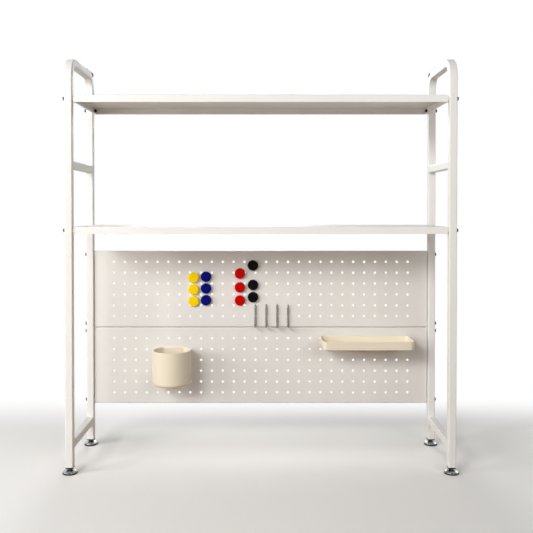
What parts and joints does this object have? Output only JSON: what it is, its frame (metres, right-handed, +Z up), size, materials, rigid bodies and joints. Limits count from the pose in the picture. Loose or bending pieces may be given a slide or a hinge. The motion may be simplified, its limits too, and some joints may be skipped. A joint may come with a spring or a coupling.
{
  "type": "desktop shelf with pegboard",
  "caption": "Steel desk-top shelf on levelling feet: bent-tube side frames, folded shelves, and perforated back panels that hold a pen cup, a tray, hooks and round magnets.",
  "frame": {"origin": "on the desk, midway between the feet", "axes": "+X to the viewer's right, +Y to the wall behind, +Z up; the front faces -Y"},
  "size_m": [0.814, 0.214, 0.856],
  "materials": {
    "white_frame": "fine textured powder coat",
    "white_shelf": "fine textured powder coat",
    "white_panel": "satin powder coat",
    "black_steel": "black oxide",
    "black_plastic": "moulded",
    "black_rubber": "matte",
    "chrome": "polished",
    "zinc_steel": "zinc plated",
    "bright_steel": "nickel plated",
    "cream_plastic": "fine moulded texture",
    "yellow_plastic": "moulded",
    "blue_plastic": "moulded",
    "red_plastic": "moulded",
    "black_plastic_gloss": "moulded",
    "ferrite": "sintered, dull"
  },
  "bodies": {
    "frame": {"left_side_frame": "white_frame", "left_middle_rail": "white_frame", "left_bottom_rail": "white_frame", "right_side_frame": "white_frame", "right_middle_rail": "white_frame", "right_bottom_rail": "white_frame", "top_shelf": "white_shelf", "lower_shelf": "white_shelf", "upper_pegboard": "white_panel", "lower_pegboard": "white_panel", "shelf_bolts": "black_steel", "shelf_nuts": "black_steel", "pegboard_screws": "black_steel", "pegboard_nuts": "black_steel", "wall_brackets": "black_steel", "bracket_screws": "black_steel", "foot_inserts": "black_plastic"},
    "front_left_foot": {"front_left_foot_pad": "black_rubber", "front_left_foot_cap": "chrome"},
    "front_left_stud": {"front_left_foot_stud": "zinc_steel"},
    "front_right_foot": {"front_right_foot_pad": "black_rubber", "front_right_foot_cap": "chrome"},
    "front_right_stud": {"front_right_foot_stud": "zinc_steel"},
    "rear_left_foot": {"rear_left_foot_pad": "black_rubber", "rear_left_foot_cap": "chrome"},
    "rear_left_stud": {"rear_left_foot_stud": "zinc_steel"},
    "rear_right_foot": {"rear_right_foot_pad": "black_rubber", "rear_right_foot_cap": "chrome"},
    "rear_right_stud": {"rear_right_foot_stud": "zinc_steel"},
    "pen_cup": {"pen_cup": "cream_plastic"},
    "tray": {"tray": "cream_plastic"},
    "hook_1": {"hook_1": "bright_steel"},
    "hook_2": {"hook_2": "bright_steel"},
    "hook_3": {"hook_3": "bright_steel"},
    "hook_4": {"hook_4": "bright_steel"},
    "yellow_magnet_1": {"yellow_magnet_1_cap": "yellow_plastic", "yellow_magnet_1_disc": "ferrite"},
    "yellow_magnet_2": {"yellow_magnet_2_cap": "yellow_plastic", "yellow_magnet_2_disc": "ferrite"},
    "yellow_magnet_3": {"yellow_magnet_3_cap": "yellow_plastic", "yellow_magnet_3_disc": "ferrite"},
    "blue_magnet_1": {"blue_magnet_1_cap": "blue_plastic", "blue_magnet_1_disc": "ferrite"},
    "blue_magnet_2": {"blue_magnet_2_cap": "blue_plastic", "blue_magnet_2_disc": "ferrite"},
    "blue_magnet_3": {"blue_magnet_3_cap": "blue_plastic", "blue_magnet_3_disc": "ferrite"},
    "red_magnet_1": {"red_magnet_1_cap": "red_plastic", "red_magnet_1_disc": "ferrite"},
    "red_magnet_2": {"red_magnet_2_cap": "red_plastic", "red_magnet_2_disc": "ferrite"},
    "red_magnet_3": {"red_magnet_3_cap": "red_plastic", "red_magnet_3_disc": "ferrite"},
    "black_magnet_1": {"black_magnet_1_cap": "black_plastic_gloss", "black_magnet_1_disc": "ferrite"},
    "black_magnet_2": {"black_magnet_2_cap": "black_plastic_gloss", "black_magnet_2_disc": "ferrite"},
    "black_magnet_3": {"black_magnet_3_cap": "black_plastic_gloss", "black_magnet_3_disc": "ferrite"}
  },
  "joints": [
    {"name": "front_left_foot_height", "type": "slide", "parent": "frame", "child": "front_left_foot", "axis": [0, 0, 1], "range_m": [-0.012, 0.0008]},
    {"name": "front_left_foot_turn", "type": "hinge", "parent": "front_left_foot", "child": "front_left_stud", "pos_m": [-0.392, -0.092, 0], "axis": [0, 0, 1], "range_deg": [-4321, 289]},
    {"name": "front_right_foot_height", "type": "slide", "parent": "frame", "child": "front_right_foot", "axis": [0, 0, 1], "range_m": [-0.012, 0.0008]},
    {"name": "front_right_foot_turn", "type": "hinge", "parent": "front_right_foot", "child": "front_right_stud", "pos_m": [0.392, -0.092, 0], "axis": [0, 0, 1], "range_deg": [-4321, 289]},
    {"name": "rear_left_foot_height", "type": "slide", "parent": "frame", "child": "rear_left_foot", "axis": [0, 0, 1], "range_m": [-0.012, 0.0008]},
    {"name": "rear_left_foot_turn", "type": "hinge", "parent": "rear_left_foot", "child": "rear_left_stud", "pos_m": [-0.392, 0.092, 0], "axis": [0, 0, 1], "range_deg": [-4321, 289]},
    {"name": "rear_right_foot_height", "type": "slide", "parent": "frame", "child": "rear_right_foot", "axis": [0, 0, 1], "range_m": [-0.012, 0.0008]},
    {"name": "rear_right_foot_turn", "type": "hinge", "parent": "rear_right_foot", "child": "rear_right_stud", "pos_m": [0.392, 0.092, 0], "axis": [0, 0, 1], "range_deg": [-4321, 289]},
    {"name": "pen_cup_tilt", "type": "hinge", "parent": "frame", "child": "pen_cup", "pos_m": [-0.2, 0.0895, 0.22955], "axis": [-1, 0, 0], "range_deg": [0, 45]},
    {"name": "tray_tilt", "type": "hinge", "parent": "frame", "child": "tray", "pos_m": [0.2375, 0.0895, 0.25455], "axis": [-1, 0, 0], "range_deg": [0, 45]},
    {"name": "hook_1_tilt", "type": "hinge", "parent": "frame", "child": "hook_1", "pos_m": [-0.0125, 0.0895, 0.33055], "axis": [-1, 0, 0], "range_deg": [0, 45]},
    {"name": "hook_2_tilt", "type": "hinge", "parent": "frame", "child": "hook_2", "pos_m": [0.0125, 0.0895, 0.33055], "axis": [-1, 0, 0], "range_deg": [0, 45]},
    {"name": "hook_3_tilt", "type": "hinge", "parent": "frame", "child": "hook_3", "pos_m": [0.0375, 0.0895, 0.33055], "axis": [-1, 0, 0], "range_deg": [0, 45]},
    {"name": "hook_4_tilt", "type": "hinge", "parent": "frame", "child": "hook_4", "pos_m": [0.0625, 0.0895, 0.33055], "axis": [-1, 0, 0], "range_deg": [0, 45]},
    {"name": "yellow_magnet_1_pull", "type": "slide", "parent": "frame", "child": "yellow_magnet_1", "axis": [0, -1, 0], "range_m": [0, 0.03]},
    {"name": "yellow_magnet_2_pull", "type": "slide", "parent": "frame", "child": "yellow_magnet_2", "axis": [0, -1, 0], "range_m": [0, 0.03]},
    {"name": "yellow_magnet_3_pull", "type": "slide", "parent": "frame", "child": "yellow_magnet_3", "axis": [0, -1, 0], "range_m": [0, 0.03]},
    {"name": "blue_magnet_1_pull", "type": "slide", "parent": "frame", "child": "blue_magnet_1", "axis": [0, -1, 0], "range_m": [0, 0.03]},
    {"name": "blue_magnet_2_pull", "type": "slide", "parent": "frame", "child": "blue_magnet_2", "axis": [0, -1, 0], "range_m": [0, 0.03]},
    {"name": "blue_magnet_3_pull", "type": "slide", "parent": "frame", "child": "blue_magnet_3", "axis": [0, -1, 0], "range_m": [0, 0.03]},
    {"name": "red_magnet_1_pull", "type": "slide", "parent": "frame", "child": "red_magnet_1", "axis": [0, -1, 0], "range_m": [0, 0.03]},
    {"name": "red_magnet_2_pull", "type": "slide", "parent": "frame", "child": "red_magnet_2", "axis": [0, -1, 0], "range_m": [0, 0.03]},
    {"name": "red_magnet_3_pull", "type": "slide", "parent": "frame", "child": "red_magnet_3", "axis": [0, -1, 0], "range_m": [0, 0.03]},
    {"name": "black_magnet_1_pull", "type": "slide", "parent": "frame", "child": "black_magnet_1", "axis": [0, -1, 0], "range_m": [0, 0.03]},
    {"name": "black_magnet_2_pull", "type": "slide", "parent": "frame", "child": "black_magnet_2", "axis": [0, -1, 0], "range_m": [0, 0.03]},
    {"name": "black_magnet_3_pull", "type": "slide", "parent": "frame", "child": "black_magnet_3", "axis": [0, -1, 0], "range_m": [0, 0.03]}
  ],
  "couplings": [
    {"joint": "front_left_foot_turn", "follows": "front_left_foot_height", "rad_per_m": 6283.2},
    {"joint": "front_right_foot_turn", "follows": "front_right_foot_height", "rad_per_m": 6283.2},
    {"joint": "rear_left_foot_turn", "follows": "rear_left_foot_height", "rad_per_m": 6283.2},
    {"joint": "rear_right_foot_turn", "follows": "rear_right_foot_height", "rad_per_m": 6283.2}
  ]
}
